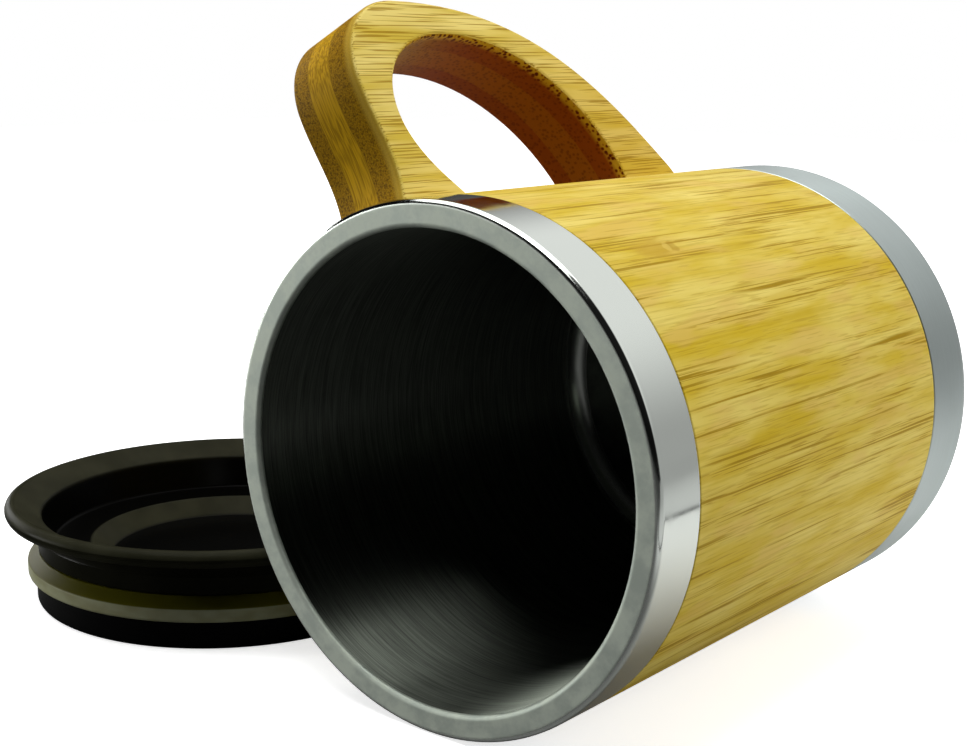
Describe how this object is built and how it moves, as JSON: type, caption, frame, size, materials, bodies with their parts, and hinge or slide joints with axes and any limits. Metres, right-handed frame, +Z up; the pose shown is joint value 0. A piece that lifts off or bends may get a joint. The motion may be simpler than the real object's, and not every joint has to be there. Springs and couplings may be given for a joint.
{
  "type": "insulated cup",
  "caption": "Insulated drinking cup on its side: steel liner in a bamboo sleeve between polished steel bands, bamboo loop handle, and a dark push-in lid with a silicone seal lying beside it.",
  "frame": {"origin": "on the table, under the middle of the box around the lying cup and its lid", "axes": "+Z up from the table, +Y along the cup's axis from its mouth to its foot, +X from the lid towards the cup"},
  "size_m": [0.166, 0.1212, 0.1157],
  "materials": {
    "polished_steel": "polished stainless steel",
    "liner_steel": "stainless steel brushed round the bore",
    "shell_steel": "plain drawn stainless steel",
    "base_steel": "satin stainless steel",
    "screw_steel": "zinc-plated",
    "sleeve_bamboo": "lacquered bamboo, grain along the cup",
    "handle_bamboo": "oiled laminated bamboo",
    "lid_plastic": "satin moulded polypropylene",
    "plug_plastic": "smooth moulded polypropylene",
    "silicone": "translucent silicone"
  },
  "bodies": {
    "cup": {"rim_collar": "polished_steel", "inner_liner": "liner_steel", "outer_shell": "shell_steel", "bamboo_sleeve": "sleeve_bamboo", "base_cap": "base_steel", "handle": "handle_bamboo", "handle_screw_front": "screw_steel", "handle_screw_rear": "screw_steel"},
    "lid": {"lid_dish": "lid_plastic", "lid_seal": "silicone", "lid_plug": "plug_plastic"}
  },
  "joints": [
    {"name": "lid_pull_away", "type": "slide", "parent": "cup", "child": "lid", "axis": [-1, 0, 0], "range_m": [0, 0.1]}
  ]
}
